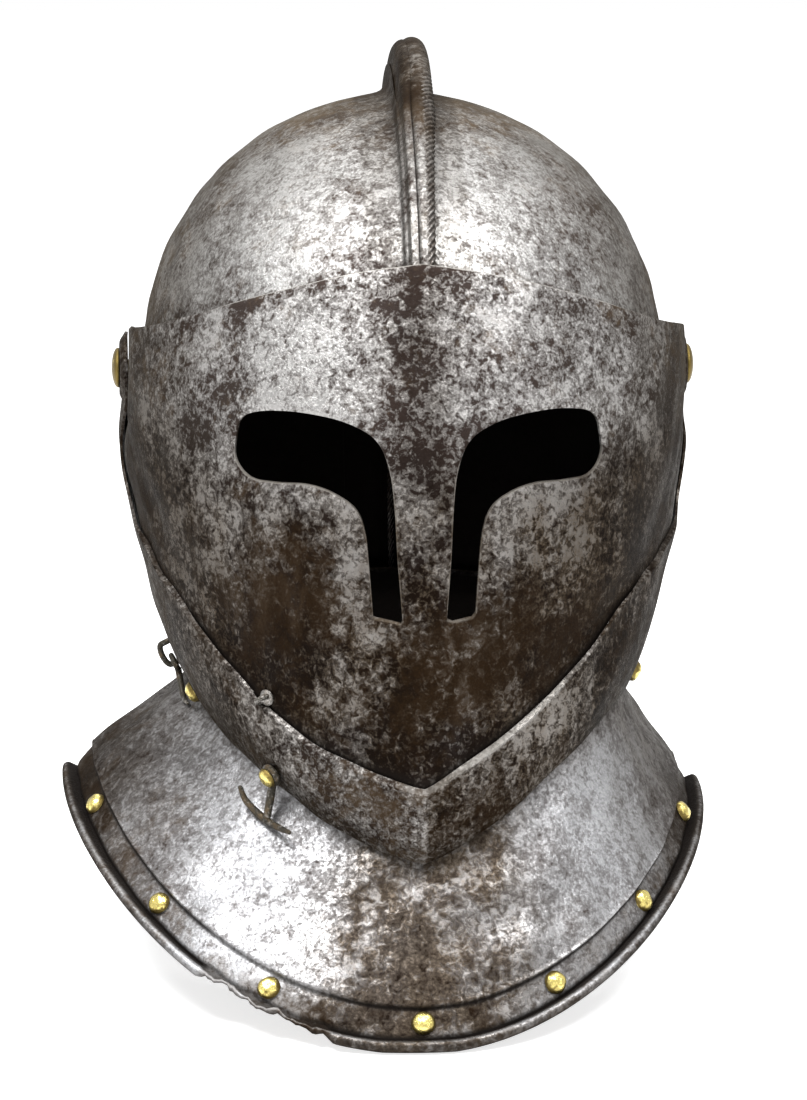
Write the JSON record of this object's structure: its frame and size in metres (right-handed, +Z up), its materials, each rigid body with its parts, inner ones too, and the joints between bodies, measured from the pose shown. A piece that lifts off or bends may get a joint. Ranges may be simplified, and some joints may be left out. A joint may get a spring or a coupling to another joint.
{
  "type": "close helmet",
  "caption": "Close helmet with a roped comb, a pivoting full-face visor with L-shaped eye slots, a pivoting bevor and a flared gorget.",
  "frame": {"origin": "middle of the footprint, on the plane that the worn flats of the front and rear gorget rims stand on", "axes": "+Z up, -Y the way the face looks, +X to the wearer's left"},
  "size_m": [0.2348, 0.3028, 0.3206],
  "materials": {
    "steel": "patinated, pitted and worn bright on the edges",
    "brass": "polished caps, slightly tarnished",
    "iron": "blackened with brown rust",
    "leather": "dry brown strap leather"
  },
  "bodies": {
    "skull": {"skull_left_half": "steel", "skull_right_half": "steel", "rear_gorget_plate": "steel", "rear_lining_band": "leather", "skull_stud": "iron", "rear_gorget_rivet_1": "brass", "rear_gorget_rivet_2": "brass", "rear_gorget_rivet_3": "brass", "rear_gorget_rivet_4": "brass", "rear_gorget_rivet_5": "brass", "rear_gorget_rivet_6": "brass", "nape_rivet_left": "brass", "nape_rivet_right": "brass", "pivot_bolt_left": "brass", "pivot_bolt_right": "brass", "pivot_nut_left": "iron", "pivot_nut_right": "iron"},
    "visor_body": {"visor": "steel", "visor_stud": "iron"},
    "bevor_body": {"bevor": "steel", "front_gorget_plate": "steel", "front_lining_band": "leather", "front_hook_rivet": "brass", "side_staple": "iron", "front_gorget_rivet_1": "brass", "front_gorget_rivet_2": "brass", "front_gorget_rivet_3": "brass", "front_gorget_rivet_4": "brass", "front_gorget_rivet_5": "brass", "front_gorget_rivet_6": "brass", "front_gorget_rivet_7": "brass", "collar_rivet_left": "brass", "collar_rivet_right": "brass"},
    "front_hook_body": {"front_hook": "iron"},
    "side_hook_body": {"side_hook": "iron"}
  },
  "joints": [
    {"name": "visor_pivot", "type": "hinge", "parent": "skull", "child": "visor_body", "pos_m": [0.0065, 0.0125, 0.205], "axis": [-1, 0, 0], "range_deg": [0, 45]},
    {"name": "bevor_pivot", "type": "hinge", "parent": "skull", "child": "bevor_body", "pos_m": [0.0065, 0.0125, 0.205], "axis": [-1, 0, 0], "range_deg": [0, 45]},
    {"name": "front_hook_pivot", "type": "hinge", "parent": "bevor_body", "child": "front_hook_body", "pos_m": [-0.04262, -0.08558, 0.0795], "axis": [-0.7747, -0.4767, -0.4154], "range_deg": [0, 170]},
    {"name": "side_hook_pivot", "type": "hinge", "parent": "bevor_body", "child": "side_hook_body", "pos_m": [-0.07569, -0.00952, 0.10164], "axis": [-0.9015, -0.0657, -0.4278], "range_deg": [0, 130]}
  ]
}
